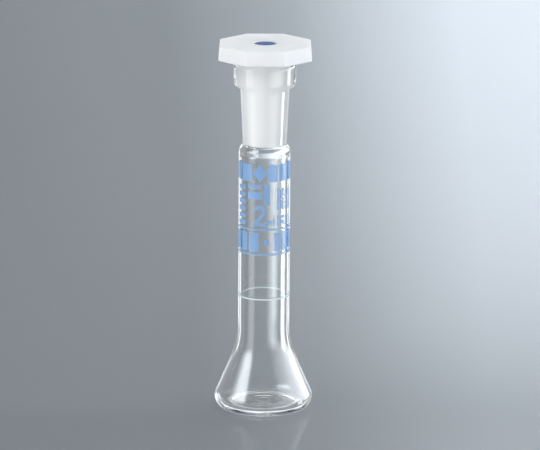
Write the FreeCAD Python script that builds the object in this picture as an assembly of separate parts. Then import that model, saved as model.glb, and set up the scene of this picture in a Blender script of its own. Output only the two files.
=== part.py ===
import FreeCAD, Part
import math
import os

# Volumetric flask of 2 ml with a conical body, a 7/16 ground socket and a plastic stopper.
# Millimetres, +Z up. The origin is on the axis, at the surface that the foot stands on.
# Angles round the axis are in degrees towards +X, from -Y for the head of the stopper, and
# from PRINT_TURN past -Y for the print.

Vector = FreeCAD.Vector
ORIGIN = Vector(0, 0, 0)
UP = Vector(0, 0, 1)

# Conical body
BODY_R = 9.2
HEEL_R = 2.1
CONE_ANGLE = 23.0
FOOT_INNER_R = 6.1
FOOT_R = 0.4
PUNT_HEIGHT = 0.3
PUNT_SLOPE = 0.8
PUNT_R = 1.5
FLOOR_THICKNESS = 1.15
BODY_WALL = 0.92
MOULD_RING_RADII = (1.3, 2.7, 4.1)
MOULD_RING_WIDTH = 0.5
MOULD_RING_HEIGHT = 0.08

# Neck and its shoulder
NECK_R = 4.84
NECK_WALL = 0.73
NECK_FLARE_R = 14.0
SHOULDER_BASE_Z = 49.3
SHOULDER_TOP_Z = 50.9
SHOULDER_R = 1.3
SHOULDER_HOLLOW_R = 0.6
SHOULDER_SLOPE = 1.0
BORE_TOP_R = 1.2
BORE_TOP_DROP = 0.2

# Ground socket: 7.5 mm at the mouth, 16 mm long, 1 mm in 10 on the diameter
SOCKET_MOUTH_R = 3.75
SOCKET_LENGTH = 16.0
SOCKET_TAPER = 0.05
SOCKET_WALL = 1.1
SOCKET_BASE_R = 0.3
RIM_Z = 66.7

# Thick rim bead round the mouth
BEAD_R = 5.85
BEAD_BASE_Z = 61.9
BEAD_LOWER_R = 1.2
BEAD_LOWER_RISE = 0.3
BEAD_UPPER_R = 0.9
BEAD_ROOT_R = 0.4
MOUTH_R = 0.4

# Stopper
HEAD_ACROSS_FLATS = 17.4
HEAD_BASE_Z = 67.5
HEAD_TOP_Z = 70.3
HEAD_SIDES = 8
HEAD_DRAFT = 0.2
HEAD_CHAMFER = 0.2
HEAD_LOWER_CHAMFER = 0.2
HEAD_CORNER_R = 0.35
SHANK_CLEARANCE = 0.03
SHANK_TIP_Z = 50.95
SHANK_TIP_R = 0.25
SHANK_ROOT = 0.5
SHANK_WALL = 1.05
SHANK_HOLLOW_TOP_Z = 67.9
SHANK_HOLLOW_R = 0.5
DISC_R = 2.1
DISC_THICKNESS = 0.8
DISC_RECESS = 0.2
DISC_CROWN = 0.05
DISC_WELL_R = 2.2
CUT_MARGIN = 1.0

# Fired enamel marks
ENAMEL_PROUD = 0.04
ENAMEL_BITE = 0.01
PRINT_TURN = 3.5
GRADUATION_Z = 22.0
GRADUATION_WIDTH = 0.25
RULE_WIDTH = 0.28
RULE_UPPER_Z = 35.5
RULE_LOWER_Z = 30.7
RULE_SPAN = 96.0
HEADER_Z = (44.7, 48.0)
FINE_Z = (43.4, 44.2)
CLASS_BAR_Z = (41.3, 42.8)
CLASS_POST_Z = (40.3, 44.2)
CODE_Z = (31.3, 34.9)
TEXT_BASE_Z = 36.2
NUMERAL_HEIGHT = 4.0
NUMERAL_STROKE = 0.62
NUMERAL_ANGLE = -14
UNIT_HEIGHT = 1.5
UNIT_STROKE = 0.26
UNIT_M_ANGLE = 8
UNIT_L_ANGLE = 17
SIDE_PITCH = 1.36
SIDE_BAR_HEIGHT = 0.8
DATA_PITCH = 7.5
DATA_DASH = 4.0
DATA_BREAK = 0.24
DATA_STAGGER = 0.3
DATA_GROUPS_Z = ((36.3, 38.2), (39.2, 43.4))


def rounded_outline(corners):
    """A closed wire in the XZ plane through corners of (radius, height, rounding)."""
    points = [Vector(r, 0, z) for r, z, _ in corners]
    edges = []
    start = points[0]
    for before, corner, after, (_, _, rounding) in zip(points, points[1:], points[2:], corners[1:]):
        towards = (before - corner).normalize()
        onwards = (after - corner).normalize()
        leave = corner
        if rounding:
            half_angle = towards.getAngle(onwards) / 2
            reach = rounding / math.tan(half_angle)
            arrive = corner + towards * reach
            leave = corner + onwards * reach
            bisector = (towards + onwards).normalize()
            nearest = rounding / math.sin(half_angle) - rounding
            edges.append(Part.LineSegment(start, arrive).toShape())
            edges.append(Part.Arc(arrive, corner + bisector * nearest, leave).toShape())
        else:
            edges.append(Part.LineSegment(start, corner).toShape())
        start = leave
    edges.append(Part.LineSegment(start, points[-1]).toShape())
    edges.append(Part.LineSegment(points[-1], points[0]).toShape())
    return Part.Wire(edges)


def turned(corners):
    """The solid that a half section makes when it turns about the axis."""
    return Part.Face(rounded_outline(corners)).revolve(ORIGIN, UP, 360)


def socket_r(z):
    return SOCKET_MOUTH_R - (RIM_Z - z) * SOCKET_TAPER


def cone_r(z, inset=0.0):
    """Radius of the conical wall at a height, for a surface set in from the outside."""
    slope = math.radians(CONE_ANGLE)
    reach = (BODY_R - HEEL_R) * math.cos(slope) + HEEL_R * math.sin(slope) + HEEL_R - inset
    return (reach - z * math.sin(slope)) / math.cos(slope)


def cone_z(r, inset=0.0):
    """Height at which the conical wall reaches a radius."""
    slope = math.radians(CONE_ANGLE)
    return (cone_r(0, inset) - r) / math.tan(slope)


def flask_section():
    """The glass wall from the middle of the punt, over the rim and down to the inner floor."""
    bore_r = NECK_R - NECK_WALL
    socket_base_z = RIM_Z - SOCKET_LENGTH
    outside = [
        (0, PUNT_HEIGHT, 0),
        (FOOT_INNER_R - PUNT_SLOPE, PUNT_HEIGHT, PUNT_R),
        (FOOT_INNER_R, 0, FOOT_R),
        (cone_r(0), 0, HEEL_R),
        (NECK_R, cone_z(NECK_R), NECK_FLARE_R),
        (NECK_R, SHOULDER_BASE_Z + SHOULDER_SLOPE, SHOULDER_R),
        (socket_r(SHOULDER_TOP_Z) + SOCKET_WALL, SHOULDER_TOP_Z, SHOULDER_HOLLOW_R),
        (socket_r(BEAD_BASE_Z) + SOCKET_WALL, BEAD_BASE_Z, BEAD_ROOT_R),
        (BEAD_R, BEAD_BASE_Z + BEAD_LOWER_RISE, BEAD_LOWER_R),
        (BEAD_R, RIM_Z, BEAD_UPPER_R),
    ]
    inside = [
        (socket_r(RIM_Z), RIM_Z, MOUTH_R),
        (socket_r(socket_base_z), socket_base_z, SOCKET_BASE_R),
        (bore_r, SHOULDER_BASE_Z - BORE_TOP_DROP, BORE_TOP_R),
        (bore_r, cone_z(bore_r, BODY_WALL), NECK_FLARE_R),
        (cone_r(FLOOR_THICKNESS, BODY_WALL), FLOOR_THICKNESS, HEEL_R - BODY_WALL),
        (0, FLOOR_THICKNESS, 0),
    ]
    return outside + inside


def make_flask_glass():
    """The one piece of glass, with the faint rings that its mould leaves on the floor."""
    glass = turned(flask_section())
    rings = []
    for radius in MOULD_RING_RADII:
        inner = radius - MOULD_RING_WIDTH / 2
        outer = radius + MOULD_RING_WIDTH / 2
        crest = FLOOR_THICKNESS + MOULD_RING_HEIGHT
        ends = [Vector(inner, 0, FLOOR_THICKNESS), Vector(outer, 0, FLOOR_THICKNESS)]
        roots = [end - UP * MOULD_RING_HEIGHT for end in ends]
        ridge = Part.Arc(ends[0], Vector(radius, 0, crest), ends[1]).toShape()
        sides = Part.makePolygon([ends[1], roots[1], roots[0], ends[0]])
        section = Part.Face(Part.Wire([ridge] + sides.Edges))
        rings.append(section.revolve(ORIGIN, UP, 360))
    return glass.fuse(rings).removeSplitter()


def capacity_ml():
    """Volume inside the glass up to the graduation."""
    corners = flask_section()
    bore_r = NECK_R - NECK_WALL
    hollow = [(0, GRADUATION_Z, 0), (bore_r, GRADUATION_Z, 0)] + corners[-3:]
    return turned(hollow).Volume / 1000


def enamel_patch(start, end, low_z, high_z):
    """A patch of enamel on the neck between two angles and two heights."""
    inner = NECK_R - ENAMEL_BITE
    outer = NECK_R + ENAMEL_PROUD
    corners = [(inner, low_z), (outer, low_z), (outer, high_z), (inner, high_z), (inner, low_z)]
    section = Part.Face(Part.makePolygon([Vector(r, 0, z) for r, z in corners]))
    patch = section.revolve(ORIGIN, UP, end - start)
    patch.rotate(ORIGIN, UP, start - 90 + PRINT_TURN)
    return patch


def enamel_ring(z, width):
    return enamel_patch(0, 360, z - width / 2, z + width / 2)


def enamel_glyph(strokes, angle, base_z):
    """Flat strokes, drawn about x = 0 and up from z = 0, laid on the neck at an angle."""
    shell = enamel_ring(base_z + NUMERAL_HEIGHT / 2, 2 * NUMERAL_HEIGHT)
    glyph = strokes[0].fuse(strokes[1:]).removeSplitter() if len(strokes) > 1 else strokes[0]
    glyph.translate(Vector(0, -NECK_R - 1, base_z))
    glyph = glyph.extrude(Vector(0, NECK_R, 0)).common(shell)
    glyph.rotate(ORIGIN, UP, angle + PRINT_TURN)
    return glyph


def flat_stroke(points):
    """A flat stroke with straight sides, from its corners in x and z."""
    corners = [Vector(x, 0, z) for x, z in points]
    return Part.Face(Part.makePolygon(corners + corners[:1]))


def flat_arc(centre_x, centre_z, outer_r, width, start, end):
    """A flat stroke along an arc, its angles counted up from +X."""

    def at(r, degrees):
        turn = math.radians(degrees)
        return Vector(centre_x + r * math.cos(turn), 0, centre_z + r * math.sin(turn))

    middle = (start + end) / 2
    inner_r = outer_r - width
    outer_arc = Part.Arc(at(outer_r, start), at(outer_r, middle), at(outer_r, end)).toShape()
    inner_arc = Part.Arc(at(inner_r, end), at(inner_r, middle), at(inner_r, start)).toShape()
    far_end = Part.LineSegment(at(outer_r, end), at(inner_r, end)).toShape()
    near_end = Part.LineSegment(at(inner_r, start), at(outer_r, start)).toShape()
    return Part.Face(Part.Wire([outer_arc, far_end, inner_arc, near_end]))


def make_capacity_numeral():
    """The numeral 2, an arc over a slanting stem and a foot."""
    width = NUMERAL_STROKE
    half = NUMERAL_HEIGHT * 0.29
    bow_z = NUMERAL_HEIGHT - half
    lean = math.radians(-32)
    hip = (half * math.cos(lean), bow_z + half * math.sin(lean))
    inner_hip = ((half - width) * math.cos(lean), bow_z + (half - width) * math.sin(lean))
    bow = flat_arc(0, bow_z, half, width, -32, 175)
    heel = [(-half + 1.2 * width, width), (-half, width), (-half, 0.7 * width)]
    stem = flat_stroke([inner_hip, hip] + heel)
    foot = flat_stroke([(-half, 0), (half, 0), (half, width), (-half, width)])
    return enamel_glyph([bow, stem, foot], NUMERAL_ANGLE, TEXT_BASE_Z)


def upright(left, height):
    """A plain upright stroke of the unit."""
    right = left + UNIT_STROKE
    return flat_stroke([(left, 0), (right, 0), (right, height), (left, height)])


def make_unit_mark():
    """The unit, a small m and l beside the numeral."""
    x_height = UNIT_HEIGHT * 0.68
    bow_r = UNIT_HEIGHT * 0.27
    spread = 2 * bow_r - UNIT_STROKE
    strokes = [upright(-bow_r - spread, x_height)]
    for bow in range(2):
        centre = (bow - 1) * spread + spread / 2 - UNIT_STROKE / 2
        strokes.append(flat_arc(centre, x_height - bow_r, bow_r, UNIT_STROKE, 0, 180))
        strokes.append(upright(centre + bow_r - UNIT_STROKE, x_height - bow_r))
    m_mark = enamel_glyph(strokes, UNIT_M_ANGLE, TEXT_BASE_Z)
    l_mark = enamel_glyph([upright(0, UNIT_HEIGHT)], UNIT_L_ANGLE, TEXT_BASE_Z)
    return Part.makeCompound([m_mark, l_mark])


def lozenge(angle, low_z, high_z):
    """A diamond as tall as the band that it stands in."""
    half = (high_z - low_z) / 2
    flat = flat_stroke([(0, 0), (half * 0.8, half), (0, 2 * half), (-half * 0.8, half)])
    return enamel_glyph([flat], angle, low_z)


def make_header_blocks():
    """Plain blocks and a diamond in a band below the shoulder."""
    spans = [(-92, -64), (-60, -32), (4, 27), (32, 55), (60, 83)]
    blocks = [enamel_patch(start, end, *HEADER_Z) for start, end in spans]
    return Part.makeCompound(blocks + [lozenge(-14, *HEADER_Z)])


def make_fine_bars():
    """A row of short bars under the header."""
    bars = [enamel_patch(start, start + 3.5, *FINE_Z) for start in range(-42, -10, 5)]
    return Part.makeCompound(bars)


def make_class_blocks():
    """A plain bar beside an upright block."""
    bar = enamel_patch(-42, -9, *CLASS_BAR_Z)
    post = enamel_patch(-4, 9, *CLASS_POST_Z)
    return Part.makeCompound([bar, post])


def make_side_column():
    """Stacked bars at the left of the panel."""
    bars = []
    for row in range(6):
        low_z = TEXT_BASE_Z + row * SIDE_PITCH
        bars.append(enamel_patch(-76 + 4 * (row % 2), -50, low_z, low_z + SIDE_BAR_HEIGHT))
    return Part.makeCompound(bars)


def make_data_column():
    """Rows of fine upright dashes at the right of the panel, in two groups."""
    dashes = []
    for row in range(6):
        start = 26 + row * DATA_PITCH
        end = start + DATA_DASH
        for low_z, high_z in DATA_GROUPS_Z:
            break_z = low_z + (high_z - low_z) * (0.4 + 0.1 * (row % 3))
            top_z = high_z - DATA_STAGGER * (row % 2)
            dashes.append(enamel_patch(start, end, low_z, break_z - DATA_BREAK / 2))
            dashes.append(enamel_patch(start, end, break_z + DATA_BREAK / 2, top_z))
    return Part.makeCompound(dashes)


def make_code_blocks():
    """Plain blocks and a square dot in the band between the two rules."""
    spans = [(-88, -66), (-60, -44), (-38, -16), (20, 33), (38, 60), (66, 84)]
    blocks = [enamel_patch(start, end, *CODE_Z) for start, end in spans]
    middle = sum(CODE_Z) / 2
    dot = enamel_patch(-4, 8, middle - 0.5, middle + 0.5)
    return Part.makeCompound(blocks + [dot])


def make_rule(z):
    return enamel_patch(-RULE_SPAN, RULE_SPAN, z - RULE_WIDTH / 2, z + RULE_WIDTH / 2)


def octagon(inset, z):
    """The outline of the head at a height, with rounded corners, set in from the full size."""
    half = HEAD_ACROSS_FLATS / 2 - inset
    half_turn = math.pi / HEAD_SIDES
    half_flat = (half - HEAD_CORNER_R) * math.tan(half_turn)
    corner_reach = (half - HEAD_CORNER_R) / math.cos(half_turn) + HEAD_CORNER_R

    def at(reach, across, turn):
        x = reach * math.cos(turn) - across * math.sin(turn)
        y = reach * math.sin(turn) + across * math.cos(turn)
        return Vector(x, y, z)

    edges = []
    for side in range(HEAD_SIDES):
        turn = 2 * half_turn * side
        flat_end = at(half, half_flat, turn)
        next_start = at(half, -half_flat, turn + 2 * half_turn)
        edges.append(Part.LineSegment(at(half, -half_flat, turn), flat_end).toShape())
        corner = Part.Arc(flat_end, at(corner_reach, 0, turn + half_turn), next_start)
        edges.append(corner.toShape())
    return Part.Wire(edges)


def make_head():
    """The octagonal plate of the stopper, a little narrower at the top, with its edges broken."""
    levels = [
        octagon(HEAD_LOWER_CHAMFER, HEAD_BASE_Z),
        octagon(0, HEAD_BASE_Z + HEAD_LOWER_CHAMFER),
        octagon(HEAD_DRAFT, HEAD_TOP_Z - HEAD_CHAMFER),
        octagon(HEAD_DRAFT + HEAD_CHAMFER, HEAD_TOP_Z),
    ]
    return Part.makeLoft(levels, True, True)


def make_stopper():
    """The octagonal head on a hollow conical shank, with a well for the disc."""
    tip_r = socket_r(SHANK_TIP_Z) - SHANK_CLEARANCE
    base_r = socket_r(RIM_Z) - SHANK_CLEARANCE
    shank = turned([
        (0, SHANK_TIP_Z, 0),
        (tip_r, SHANK_TIP_Z, SHANK_TIP_R),
        (base_r, RIM_Z, 0),
        (base_r, HEAD_BASE_Z + SHANK_ROOT, 0),
        (0, HEAD_BASE_Z + SHANK_ROOT, 0),
    ])
    hollow = turned([
        (0, SHANK_TIP_Z - CUT_MARGIN, 0),
        (tip_r - SHANK_WALL, SHANK_TIP_Z - CUT_MARGIN, 0),
        (base_r - SHANK_WALL, SHANK_HOLLOW_TOP_Z, SHANK_HOLLOW_R),
        (0, SHANK_HOLLOW_TOP_Z, 0),
    ])
    well = turned([
        (0, HEAD_TOP_Z - DISC_RECESS - DISC_THICKNESS, 0),
        (DISC_R, HEAD_TOP_Z - DISC_RECESS - DISC_THICKNESS, 0),
        (DISC_R, HEAD_TOP_Z - DISC_RECESS, 0),
        (DISC_WELL_R, HEAD_TOP_Z, 0),
        (DISC_WELL_R, HEAD_TOP_Z + CUT_MARGIN, 0),
        (0, HEAD_TOP_Z + CUT_MARGIN, 0),
    ])
    return make_head().fuse(shank).cut(hollow).cut(well).removeSplitter()


def make_stopper_disc():
    """The coloured disc, slightly crowned, pressed into the well of the head."""
    rim_z = HEAD_TOP_Z - DISC_RECESS
    base = Vector(0, 0, rim_z - DISC_THICKNESS)
    plug = Part.makeCylinder(DISC_R, DISC_THICKNESS + DISC_CROWN, base)
    crown_r = (DISC_R ** 2 + DISC_CROWN ** 2) / (2 * DISC_CROWN)
    crown = Part.makeSphere(crown_r, Vector(0, 0, rim_z + DISC_CROWN - crown_r))
    return plug.common(crown)


def main():
    nodes = {
        "flask_glass": make_flask_glass(),
        "graduation_ring": enamel_ring(GRADUATION_Z, GRADUATION_WIDTH),
        "header_blocks": make_header_blocks(),
        "fine_bars": make_fine_bars(),
        "class_blocks": make_class_blocks(),
        "capacity_numeral": make_capacity_numeral(),
        "unit_mark": make_unit_mark(),
        "side_column": make_side_column(),
        "data_column": make_data_column(),
        "rule_upper": make_rule(RULE_UPPER_Z),
        "code_blocks": make_code_blocks(),
        "rule_lower": make_rule(RULE_LOWER_Z),
        "stopper": make_stopper(),
        "stopper_disc": make_stopper_disc(),
    }
    os.makedirs("parts", exist_ok=True)
    for name, shape in nodes.items():
        shape.exportStep("parts/" + name + ".step")
        print(name, "valid" if shape.isValid() else "NOT VALID", len(shape.Solids), round(shape.Volume, 3))
    print("capacity to the graduation, ml:", round(capacity_ml(), 3))


main()
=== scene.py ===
import math
from collections import namedtuple

import bpy
from mathutils import Matrix, Vector


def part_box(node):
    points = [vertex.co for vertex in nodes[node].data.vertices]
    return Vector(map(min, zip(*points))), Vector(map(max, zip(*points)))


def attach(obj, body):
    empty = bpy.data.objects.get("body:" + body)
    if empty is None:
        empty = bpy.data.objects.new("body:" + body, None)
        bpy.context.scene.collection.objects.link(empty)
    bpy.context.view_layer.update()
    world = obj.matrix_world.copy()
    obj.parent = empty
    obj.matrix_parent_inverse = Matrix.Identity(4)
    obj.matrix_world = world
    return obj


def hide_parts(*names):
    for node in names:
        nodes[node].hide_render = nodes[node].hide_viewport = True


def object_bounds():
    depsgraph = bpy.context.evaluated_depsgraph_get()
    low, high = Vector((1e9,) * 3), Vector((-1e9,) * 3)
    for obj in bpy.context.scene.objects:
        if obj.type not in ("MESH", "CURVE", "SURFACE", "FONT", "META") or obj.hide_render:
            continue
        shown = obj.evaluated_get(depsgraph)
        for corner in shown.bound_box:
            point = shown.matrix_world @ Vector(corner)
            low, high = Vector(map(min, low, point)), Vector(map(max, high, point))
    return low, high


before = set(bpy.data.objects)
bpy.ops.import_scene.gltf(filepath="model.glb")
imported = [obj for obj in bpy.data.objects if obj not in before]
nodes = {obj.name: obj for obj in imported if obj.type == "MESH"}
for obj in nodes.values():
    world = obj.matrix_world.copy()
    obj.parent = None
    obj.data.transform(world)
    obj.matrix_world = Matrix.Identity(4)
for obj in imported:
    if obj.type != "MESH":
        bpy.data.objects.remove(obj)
cad_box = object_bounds()

MM = 0.001

# The glass, in mm, as in the CAD
BODY_R = 9.2
HEEL_R = 2.1
CONE_SLOPE = math.radians(23)
FOOT_INNER_R = 6.1
FOOT_R = 0.4
PUNT_HEIGHT = 0.3
PUNT_SLOPE = 0.8
PUNT_R = 1.5
FLOOR_THICKNESS = 1.15
BODY_WALL = 0.92
MOULD_RING_RADII = (4.1, 2.7, 1.3)
MOULD_RING_HEIGHT = 0.07
MOULD_RING_REACH = 0.3
NECK_R = 4.84
NECK_WALL = 0.73
NECK_FLARE_R = 14.0
SHOULDER_BASE_Z = 49.3
SHOULDER_TOP_Z = 50.9
SHOULDER_R = 1.3
SHOULDER_HOLLOW_R = 0.6
SHOULDER_SLOPE = 1.0
BORE_TOP_R = 1.2
BORE_TOP_DROP = 0.2
SOCKET_MOUTH_R = 3.75
SOCKET_LENGTH = 16.0
SOCKET_TAPER = 0.05
SOCKET_WALL = 1.1
SOCKET_BASE_R = 0.3
RIM_Z = 66.7
BEAD_R = 5.85
BEAD_BASE_Z = 61.9
BEAD_LOWER_R = 1.2
BEAD_LOWER_RISE = 0.3
BEAD_UPPER_R = 0.9
BEAD_ROOT_R = 0.4
MOUTH_R = 0.4

# How finely the glass is turned: steps round the axis, along an arc and along a straight run in mm
GLASS_TURNS = 144
ARC_STEP = math.radians(5)
RUN_STEP = 0.9

# The socket is ground inside this radius, in mm
GROUND_R = 3.85

# The nodes printed in blue enamel
PRINT = ("header_blocks", "fine_bars", "class_blocks", "capacity_numeral", "unit_mark",
         "side_column", "data_column", "rule_upper", "code_blocks", "rule_lower")

# The camera: a long lens in front of the flask and a little above it. Angles are in degrees, the
# lens and the sensor in mm, and the rest in metres
CAMERA_DISTANCE = 0.9
CAMERA_ELEVATION = 14.2
CAMERA_ROLL = 0.35
CAMERA_LENS = 319.0
CAMERA_SENSOR = 36.0
CAMERA_NEAR = 0.05
CAMERA_FAR = 10.0
AIM_HEIGHT = 0.5 * (cad_box[0].z + cad_box[1].z)
AIM_RIGHT = 1.09 * MM
AIM_UP = 0.15 * MM

# A soft panel that only mirror rays see. Going round from -Y towards +X, it starts, is full, starts
# to end and has ended at four azimuths. It lies between a low and a high elevation, and both edges
# fade over the blur on each side. All these are in degrees. Its light reaches the eye through at
# most as many surfaces of the glass as it passes, and ANY is more than a ray ever meets.
Panel = namedtuple("Panel", "start full ending end low high blur strength passes")
ANY = 99
PANELS = [
    # The streaks on the left, of the cone and then of the neck
    Panel(262, 292, 304, 319, 10, 65, 3, 8.5, ANY),
    Panel(278, 290, 308, 320, -18.5, 10, 3, 2.0, ANY),
    # Bright lines just inside the right edge and then the left edge
    Panel(141, 144, 152, 155, -30, -9, 3, 1.3, ANY),
    Panel(205, 208, 216, 219, -30, -9, 3, 1.15, ANY),
    # The outline, from the bead to the foot
    Panel(164, 173, 187, 196, -34, 8, 3, 1.25, 3),
    # Glints on the mould rings
    Panel(155, 168, 192, 205, 36, 50, 3, 3.0, ANY),
    # On the right of the neck, the narrow stripe and then the wide one
    Panel(90, 93, 106, 109, -18.5, 0, 3, 9.5, 2),
    Panel(8, 43, 45, 78, -18.5, 2, 3, 4.6, 2),
    # The right side of the cone, mirrored by its outer surface alone and then by any surface
    Panel(25, 105, 132, 155, -1, 42, 6, 7.4, 0),
    Panel(25, 105, 132, 150, -2, 40, 3, 0.9, ANY),
]

# What mirror rays see between the panels: the level below the horizon, and how far it rises above
# it, over this many degrees on each side
WALL_LEVEL = 0.29
WALL_RISE = 0.06
WALL_BLUR = 8.0
WALL_CAST = (0.95, 1.0, 1.05)
AIR = (0.642, 0.663, 0.678, 1.0)

# Lamps that light the plastic, the enamel and the floor, as name, azimuth, elevation, strength.
# Their angles, and how wide each one looks, are in degrees.
LAMPS = [
    ("right_lamp", 58.0, 15.0, 0.31),
    ("left_lamp", -62.0, 15.0, 0.6),
    ("front_lamp", 0.0, -18.0, 0.3),
    ("back_lamp", 180.0, 10.0, 0.4),
]
LAMP_ANGLE = 50.0

# The floor and the wall that curves up round it, in metres
FLOOR_R = 0.95
WALL_R = 1.35
WALL_TOP = 1.6
WALL_BEND_STEPS = 12
WALL_TURNS = 96

# Light bounces that clear glass in front of glass needs
GLASS_BOUNCES = 24
MIRROR_BOUNCES = 12


def srgb(red, green, blue):
    """A display colour from 0 to 255 as the linear colour that shaders take."""
    def linear(value):
        value = value / 255
        return value / 12.92 if value <= 0.04045 else ((value + 0.055) / 1.055) ** 2.4
    return (linear(red), linear(green), linear(blue), 1.0)


def grey(level):
    return (level, level, level, 1.0)


class Shader:
    """A node tree, with short ways to add nodes and to link them."""

    def __init__(self, tree):
        self.tree = tree
        self.tree.nodes.clear()

    def add(self, kind, operation=None, **inputs):
        """A new node. Its inputs are set by label with _ for a space, or by place as i0, i1, i2."""
        node = self.tree.nodes.new(kind)
        if operation:
            node.operation = operation
        for name, value in inputs.items():
            if name[0] == "i" and name[1:].isdigit():
                self.set(node, int(name[1:]), value)
            else:
                self.set(node, name.replace("_", " "), value)
        return node

    def set(self, node, socket, value):
        """Links the socket to the value if that is an output of a node, or else sets it."""
        target = node.inputs[socket]
        if isinstance(value, bpy.types.NodeSocket):
            self.tree.links.new(value, target)
        else:
            target.default_value = value

    def math(self, operation, first, second=0.0, third=0.0):
        return self.add("ShaderNodeMath", operation, i0=first, i1=second, i2=third).outputs[0]

    def blend(self, factor, first, second):
        """A mix of two colours."""
        mix = self.add("ShaderNodeMix")
        mix.data_type = "RGBA"
        for place, value in ((0, factor), (6, first), (7, second)):
            self.set(mix, place, value)
        return mix.outputs[2]

    def surface(self, kind, **inputs):
        """The shader that a new node makes."""
        return self.add(kind, **inputs).outputs[0]

    def mixed(self, factor, first, second):
        """A mix of two shaders."""
        return self.surface("ShaderNodeMixShader", Fac=factor, i1=first, i2=second)

    def tinted(self, tint, level):
        """A colour that is a fixed tint at a level that varies."""
        return self.add("ShaderNodeVectorMath", "SCALE", i0=tint, Scale=level).outputs[0]

    def ramp(self, value, stops):
        """A colour ramp with stops of (place, colour)."""
        node = self.add("ShaderNodeValToRGB", Fac=value)
        elements = node.color_ramp.elements
        while len(elements) < len(stops):
            elements.new(0.5)
        for element, (place, colour) in zip(elements, stops):
            element.position = place
            element.color = colour
        return node.outputs["Color"]

    def place(self):
        """The point in the object's own frame, in metres, whole and as separate x, y and z."""
        point = self.add("ShaderNodeTexCoord").outputs["Object"]
        return point, self.add("ShaderNodeSeparateXYZ", Vector=point).outputs

    def radius(self, x, y):
        """Distance from the axis."""
        squares = self.math("ADD", self.math("MULTIPLY", x, x), self.math("MULTIPLY", y, y))
        return self.math("SQRT", squares)

    def fade(self, value, start, end):
        """From 0 at the start to 1 at the end, smoothly."""
        node = self.add("ShaderNodeMapRange", Value=value, From_Min=start, From_Max=end)
        node.interpolation_type = "SMOOTHSTEP"
        return node.outputs[0]

    def ray(self, fact):
        """What Blender's light path says of the ray, such as how often it has been mirrored."""
        return self.add("ShaderNodeLightPath").outputs[fact]

    def mirrored(self):
        """1 for a ray that has been mirrored, and 0 for any other."""
        return self.math("GREATER_THAN", self.ray("Glossy Depth"), 0.5)

    def panel(self, azimuth, elevation, passed, panel):
        """The light of a soft-edged panel in one direction, after a number of glass surfaces."""
        rise = self.fade(azimuth, panel.start, panel.full)
        fall = self.fade(azimuth, panel.end, panel.ending)
        bottom = self.fade(elevation, panel.low - panel.blur, panel.low + panel.blur)
        top = self.fade(elevation, panel.high + panel.blur, panel.high - panel.blur)
        light = self.math("MULTIPLY", self.math("MULTIPLY", rise, fall), self.math("MULTIPLY", bottom, top))
        reached = self.math("LESS_THAN", passed, panel.passes + 0.5)
        return self.math("MULTIPLY", self.math("MULTIPLY", light, panel.strength), reached)

    def noise(self, point, scale, detail=3.0, roughness=0.5):
        node = self.add("ShaderNodeTexNoise", Vector=point, Scale=scale, Detail=detail, Roughness=roughness)
        return node.outputs[0]

    def bump(self, height, distance, strength=1.0):
        node = self.add("ShaderNodeBump", Height=height, Distance=distance, Strength=strength)
        return node.outputs[0]

    def finish(self, surface):
        output = self.add("ShaderNodeOutputMaterial")
        self.tree.links.new(surface, output.inputs["Surface"])


def new_material(name):
    material = bpy.data.materials.new(name)
    material.use_nodes = True
    return material, Shader(material.node_tree)


def glass_material():
    """Clear borosilicate glass, ground and frosted inside the socket. Lamps shine through it."""
    glass_tint = (0.985, 0.995, 0.993, 1.0)
    ground_roughness, roughness_spread = 0.25, 0.2
    frost_dark, frost_light = grey(0.9), grey(0.96)
    frost_cover = 0.92
    frost_lit_through = 0.25
    clear_shadow, ground_shadow = (0.96, 0.97, 0.97, 1.0), grey(0.65)

    material, s = new_material("clear_glass")
    point, (x, y, z) = s.place()
    socket_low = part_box("stopper")[0].z
    in_socket = s.math("GREATER_THAN", z, socket_low)
    inside = s.math("LESS_THAN", s.radius(x, y), GROUND_R * MM)
    ground = s.math("MULTIPLY", in_socket, inside)
    grit = s.noise(point, scale=9000.0, detail=2.0)
    roughness = s.math("MULTIPLY_ADD", grit, roughness_spread, ground_roughness)

    glass = s.add("ShaderNodeBsdfPrincipled", IOR=1.473)
    s.set(glass, "Base Color", glass_tint)
    s.set(glass, "Transmission Weight", 1.0)
    s.set(glass, "Roughness", s.math("MULTIPLY", ground, roughness))
    white = s.blend(grit, frost_dark, frost_light)
    lit_front = s.surface("ShaderNodeBsdfDiffuse", Color=white)
    lit_through = s.surface("ShaderNodeBsdfTranslucent", Color=white)
    frost = s.mixed(frost_lit_through, lit_front, lit_through)
    body = s.mixed(s.math("MULTIPLY", ground, frost_cover), glass.outputs[0], frost)
    clear = s.surface("ShaderNodeBsdfTransparent", Color=s.blend(ground, clear_shadow, ground_shadow))
    s.finish(s.mixed(s.ray("Is Shadow Ray"), body, clear))
    return material


def enamel_material(name, light, dark):
    """Thin fired enamel: glossy, a little uneven in colour, and lit from behind through the glass."""
    unevenness = 0.6
    lit_through = 0.35
    bump_height = 0.004 * MM

    material, s = new_material(name)
    point, _ = s.place()
    uneven = s.noise(point, scale=1400.0, detail=4.0, roughness=0.6)
    tint = s.blend(s.math("MULTIPLY", uneven, unevenness), light, dark)
    film = s.add("ShaderNodeBsdfPrincipled", Base_Color=tint, Roughness=0.16)
    s.set(film, "Normal", s.bump(s.noise(point, scale=6000.0), bump_height))
    through = s.surface("ShaderNodeBsdfTranslucent", Color=tint)
    s.finish(s.mixed(lit_through, film.outputs[0], through))
    return material


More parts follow.
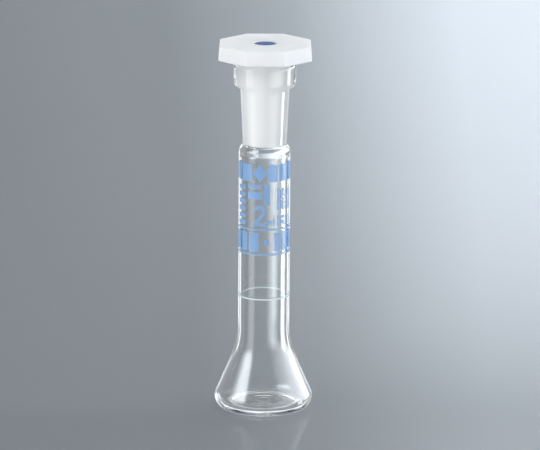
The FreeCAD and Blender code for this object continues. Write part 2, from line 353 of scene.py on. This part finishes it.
def polyethylene_material():
    """Milky polyethylene: waxy, light scatters inside it, with a faint moulded grain."""
    tint_dark, tint_light = grey(0.735), grey(0.795)
    least_roughness, roughness_spread = 0.46, 0.12
    scatter_depth = 3.2 * MM
    grain_height, grain_strength = 0.006 * MM, 0.6

    material, s = new_material("milky_polyethylene")
    point, _ = s.place()
    tint = s.blend(s.noise(point, scale=260.0, detail=2.0), tint_dark, tint_light)
    body = s.add("ShaderNodeBsdfPrincipled", Base_Color=tint, IOR=1.51)
    waxy = s.math("MULTIPLY_ADD", s.noise(point, scale=900.0), roughness_spread, least_roughness)
    s.set(body, "Roughness", waxy)
    s.set(body, "Specular IOR Level", 0.35)
    s.set(body, "Subsurface Weight", 0.6)
    s.set(body, "Subsurface Radius", (1.0, 1.0, 1.0))
    s.set(body, "Subsurface Scale", scatter_depth)
    s.set(body, "Normal", s.bump(s.noise(point, scale=3500.0), grain_height, grain_strength))
    s.finish(body.outputs[0])
    return material


def blue_disc_material():
    """Dyed plastic of the coding disc, satin, with faint turning rings."""
    blue_dark, blue_light = srgb(28, 62, 126), srgb(42, 78, 144)
    ring_rate = 30000.0
    ring_height, ring_strength = 0.002 * MM, 0.5

    material, s = new_material("blue_plastic")
    point, (x, y, _) = s.place()
    rings = s.math("SINE", s.math("MULTIPLY", s.radius(x, y), ring_rate))
    tint = s.blend(s.noise(point, scale=700.0), blue_dark, blue_light)
    body = s.add("ShaderNodeBsdfPrincipled", Base_Color=tint, Roughness=0.4)
    s.set(body, "Specular IOR Level", 0.25)
    s.set(body, "Normal", s.bump(rings, ring_height, ring_strength))
    s.finish(body.outputs[0])
    return material


def floor_material():
    """Grey studio sweep with a painted pool of light, brighter towards the back right. Mirror rays pass it,
    to reach the panels.
    """
    # The painted light across it widens from front to back and leans a little, in metres
    widens_from, widening = -0.3, 1.07
    lean = 0.02
    painted_light_width = 0.12
    painted_light_bands = [
        (0.0, 0.0), (0.3, 0.07), (0.4, 0.078), (0.6, 0.3),
        (0.715, 0.6), (0.78, 0.76), (0.86, 0.93), (1.0, 1.0),
    ]
    # How the painted light brightens the sweep towards the back, from a line through the flask's axis
    painted_light_least_depth, painted_light_depth = 0.055, 0.14
    painted_light_most = 0.75
    # Its own level, with painted shade a little darker in front of the flask
    front_level, painted_shade_step, step_start, step_end = 0.25, 0.014, -0.012, 0.002
    cloud_least, cloud_spread = 0.96, 0.04
    cast = (0.945, 1.0, 1.055)
    gloss_share, gloss_roughness = 0.07, 0.08

    material, s = new_material("sweep")
    point, (x, y, _) = s.place()
    width = s.math("MULTIPLY_ADD", s.math("MAXIMUM", y, widens_from), widening, 1.0)
    across = s.math("MULTIPLY_ADD", y, lean, s.math("DIVIDE", x, width))
    stops = [(place, grey(level)) for place, level in painted_light_bands]
    side = s.ramp(s.math("MULTIPLY_ADD", across, 1 / painted_light_width, 0.5), stops)
    depth = s.math("ADD", s.math("MAXIMUM", y, 0.0), painted_light_least_depth)
    far = s.math("SUBTRACT", 1.0, s.math("EXPONENT", s.math("DIVIDE", depth, -painted_light_depth)))
    # Painted pool of light: the grey rises towards the back right, where lamp light would fall
    rise = s.math("MULTIPLY", far, s.math("MULTIPLY", side, painted_light_most))
    # Painted shade: the grey drops by a small step in front of the flask
    base = s.math("MULTIPLY_ADD", s.fade(y, step_start, step_end), painted_shade_step, front_level)
    cloud = s.math("MULTIPLY_ADD", s.noise(point, scale=9.0, detail=4.0), cloud_spread, cloud_least)
    level = s.math("MULTIPLY", s.math("ADD", rise, base), cloud)
    matt = s.surface("ShaderNodeBsdfDiffuse", Color=s.tinted(cast, level))
    gloss = s.surface("ShaderNodeBsdfGlossy", Roughness=gloss_roughness)
    sweep = s.mixed(gloss_share, matt, gloss)
    hidden = s.surface("ShaderNodeBsdfTransparent")
    s.finish(s.mixed(s.mirrored(), sweep, hidden))
    return material


def cone_r(z, inset=0.0):
    """Radius of the conical wall at a height, for a surface set in from the outside."""
    heel = (BODY_R - HEEL_R) * math.cos(CONE_SLOPE) + HEEL_R * math.sin(CONE_SLOPE) + HEEL_R
    return (heel - inset - z * math.sin(CONE_SLOPE)) / math.cos(CONE_SLOPE)


def cone_z(r, inset=0.0):
    """Height at which the conical wall reaches a radius."""
    return (cone_r(0, inset) - r) / math.tan(CONE_SLOPE)


def socket_r(z):
    """Radius of the ground socket at a height."""
    return SOCKET_MOUTH_R - (RIM_Z - z) * SOCKET_TAPER


def glass_corners():
    """The half section of the glass in mm, as (radius, height, rounding), from the punt to the floor."""
    bore_r = NECK_R - NECK_WALL
    socket_base_z = RIM_Z - SOCKET_LENGTH
    outside = [
        (0, PUNT_HEIGHT, 0),
        (FOOT_INNER_R - PUNT_SLOPE, PUNT_HEIGHT, PUNT_R),
        (FOOT_INNER_R, 0, FOOT_R),
        (cone_r(0), 0, HEEL_R),
        (NECK_R, cone_z(NECK_R), NECK_FLARE_R),
        (NECK_R, SHOULDER_BASE_Z + SHOULDER_SLOPE, SHOULDER_R),
        (socket_r(SHOULDER_TOP_Z) + SOCKET_WALL, SHOULDER_TOP_Z, SHOULDER_HOLLOW_R),
        (socket_r(BEAD_BASE_Z) + SOCKET_WALL, BEAD_BASE_Z, BEAD_ROOT_R),
        (BEAD_R, BEAD_BASE_Z + BEAD_LOWER_RISE, BEAD_LOWER_R),
        (BEAD_R, RIM_Z, BEAD_UPPER_R),
    ]
    inside = [
        (socket_r(RIM_Z), RIM_Z, MOUTH_R),
        (socket_r(socket_base_z), socket_base_z, SOCKET_BASE_R),
        (bore_r, SHOULDER_BASE_Z - BORE_TOP_DROP, BORE_TOP_R),
        (bore_r, cone_z(bore_r, BODY_WALL), NECK_FLARE_R),
        (cone_r(FLOOR_THICKNESS, BODY_WALL), FLOOR_THICKNESS, HEEL_R - BODY_WALL),
    ]
    crest_z = FLOOR_THICKNESS + MOULD_RING_HEIGHT
    for radius in MOULD_RING_RADII:
        inside += [
            (radius + MOULD_RING_REACH, FLOOR_THICKNESS, MOULD_RING_REACH),
            (radius, crest_z, MOULD_RING_REACH),
            (radius - MOULD_RING_REACH, FLOOR_THICKNESS, MOULD_RING_REACH),
        ]
    return outside + inside + [(0, FLOOR_THICKNESS, 0)]


def rounded(corners):
    """The points of a section whose corners are rounded, close together all along."""
    spots = [Vector((r, z)) for r, z, _ in corners]
    points = [spots[0]]
    for before, spot, after, (_, _, rounding) in zip(spots, spots[1:], spots[2:], corners[1:]):
        towards = (before - spot).normalized()
        onwards = (after - spot).normalized()
        half = towards.angle(onwards) / 2
        reach = rounding / math.tan(half)
        centre = spot + (towards + onwards).normalized() * (rounding / math.sin(half))
        start = spot + towards * reach
        turn = (spot + onwards * reach - centre).angle_signed(start - centre)
        add_run(points, start)
        steps = max(2, round(abs(turn) / ARC_STEP))
        for step in range(1, steps + 1):
            arm = start - centre
            arm.rotate(Matrix.Rotation(turn * step / steps, 2))
            points.append(centre + arm)
    add_run(points, spots[-1])
    return points


def add_run(points, end):
    """Adds the points of a straight run up to its end."""
    start = points[-1]
    steps = max(1, math.ceil((end - start).length / RUN_STEP))
    points += [start.lerp(end, step / steps) for step in range(1, steps + 1)]


def turned(name, section, turns, material):
    """An object turned round +Z from a section of (radius, height) points in metres.

    The section ends on the axis, and may start there. Its right side is the outside.
    """
    starts_on_axis = section[0][0] == 0
    rings = section[1:-1] if starts_on_axis else section[:-1]
    last = len(rings) - 1
    points = []
    for index in range(turns):
        turn = 2 * math.pi * (index + 0.5) / turns
        points += [(r * math.cos(turn), r * math.sin(turn), z) for r, z in rings]
    poles = [(0, 0, section[-1][1])]
    if starts_on_axis:
        poles.append((0, 0, section[0][1]))
    end_pole = len(points)
    start_pole = end_pole + 1
    faces = []
    for index in range(turns):
        here = index * len(rings)
        there = (index + 1) % turns * len(rings)
        if starts_on_axis:
            faces.append((start_pole, there, here))
        for row in range(last):
            faces.append((here + row, there + row, there + row + 1, here + row + 1))
        faces.append((end_pole, here + last, there + last))
    mesh = bpy.data.meshes.new(name)
    mesh.from_pydata(points + poles, [], faces)
    mesh.shade_smooth()
    mesh.materials.append(material)
    item = bpy.data.objects.new(name, mesh)
    bpy.context.scene.collection.objects.link(item)
    return item


def make_glass():
    """The glass, turned more finely than the CAD mesh, because it bends what is seen through it."""
    section = [(point.x * MM, point.y * MM) for point in rounded(glass_corners())]
    glass = turned("flask_glass_turned", section, GLASS_TURNS, glass_material())
    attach(glass, "flask")
    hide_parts("flask_glass")


def make_stage():
    """A floor with a wall that curves up round it, from the wall's top in to the middle."""
    bend_r = WALL_R - FLOOR_R
    section = [(WALL_R, WALL_TOP)]
    for step in range(WALL_BEND_STEPS, -1, -1):
        turn = math.pi / 2 * step / WALL_BEND_STEPS
        section.append((FLOOR_R + bend_r * math.sin(turn), bend_r * (1 - math.cos(turn))))
    section.append((0, 0))
    sweep = turned("sweep", section, WALL_TURNS, floor_material())
    sweep.visible_shadow = False


def make_world():
    """Even studio air that lights the plastic and the floor. Mirror rays see dim walls and soft panels."""
    world = bpy.data.worlds.new("studio")
    bpy.context.scene.world = world
    world.use_nodes = True
    s = Shader(world.node_tree)
    way = s.add("ShaderNodeTexCoord").outputs["Generated"]
    x, y, z = s.add("ShaderNodeSeparateXYZ", Vector=way).outputs
    degrees = 180 / math.pi
    turn = s.math("MULTIPLY", s.math("ARCTAN2", x, s.math("MULTIPLY", y, -1.0)), degrees)
    azimuth = s.math("WRAP", turn, 360.0, 0.0)
    elevation = s.math("MULTIPLY", s.math("ARCSINE", z), degrees)
    passed = s.ray("Transmission Depth")
    total = 0.0
    for panel in PANELS:
        total = s.math("ADD", total, s.panel(azimuth, elevation, passed, panel))
    above = s.fade(elevation, -WALL_BLUR, WALL_BLUR)
    level = s.math("ADD", total, s.math("MULTIPLY_ADD", above, WALL_RISE, WALL_LEVEL))
    air = s.surface("ShaderNodeBackground", Color=AIR)
    walls = s.surface("ShaderNodeBackground", Color=s.tinted(WALL_CAST, level))
    output = s.add("ShaderNodeOutputWorld")
    s.tree.links.new(s.mixed(s.mirrored(), air, walls), output.inputs["Surface"])


def add_lamp(name, azimuth, elevation, strength):
    """A wide soft lamp, far away, which isn't itself mirrored in the glass."""
    data = bpy.data.lights.new(name, "SUN")
    data.energy = strength * math.pi
    data.angle = math.radians(LAMP_ANGLE)
    lamp = bpy.data.objects.new(name, data)
    turn = math.radians(azimuth)
    rise = math.radians(elevation)
    way = Vector((math.sin(turn) * math.cos(rise), -math.cos(turn) * math.cos(rise), math.sin(rise)))
    lamp.rotation_mode = "QUATERNION"
    lamp.rotation_quaternion = way.to_track_quat("Z", "Y")
    lamp.visible_glossy = False
    lamp.visible_transmission = False
    lamp.visible_camera = False
    bpy.context.scene.collection.objects.link(lamp)


def make_camera():
    rise = math.radians(CAMERA_ELEVATION)
    roll = math.radians(CAMERA_ROLL)
    back = Vector((0, -math.cos(rise), math.sin(rise)))
    right = Vector((1, 0, 0))
    up = back.cross(right)
    aim = Vector((0, 0, AIM_HEIGHT)) + right * AIM_RIGHT + up * AIM_UP
    tilted_right = right * math.cos(roll) + up * math.sin(roll)
    tilted_up = up * math.cos(roll) - right * math.sin(roll)
    data = bpy.data.cameras.new("camera")
    data.lens = CAMERA_LENS
    data.sensor_width = CAMERA_SENSOR
    data.clip_start = CAMERA_NEAR
    data.clip_end = CAMERA_FAR
    camera = bpy.data.objects.new("camera", data)
    turned_axes = Matrix((tilted_right, tilted_up, back)).transposed().to_4x4()
    camera.matrix_world = Matrix.Translation(aim + back * CAMERA_DISTANCE) @ turned_axes
    bpy.context.scene.collection.objects.link(camera)
    bpy.context.scene.camera = camera


def dress(name, material):
    """Gives a CAD node its material."""
    slots = nodes[name].material_slots
    if slots:
        for slot in slots:
            slot.material = material
    else:
        nodes[name].data.materials.append(material)


def main():
    make_glass()
    dress("graduation_ring", enamel_material("enamel_pale", srgb(240, 247, 250), srgb(225, 236, 240)))
    dress("stopper", polyethylene_material())
    dress("stopper_disc", blue_disc_material())
    enamel = enamel_material("enamel_blue", srgb(170, 206, 242), srgb(136, 178, 226))
    for name in PRINT:
        dress(name, enamel)
    make_stage()
    make_world()
    for lamp in LAMPS:
        add_lamp(*lamp)
    make_camera()
    scene = bpy.context.scene
    scene.view_settings.view_transform = "Standard"
    scene.cycles.max_bounces = GLASS_BOUNCES
    scene.cycles.transmission_bounces = GLASS_BOUNCES
    scene.cycles.glossy_bounces = MIRROR_BOUNCES
    scene.cycles.transparent_max_bounces = GLASS_BOUNCES
    scene.cycles.use_denoising = True


main()
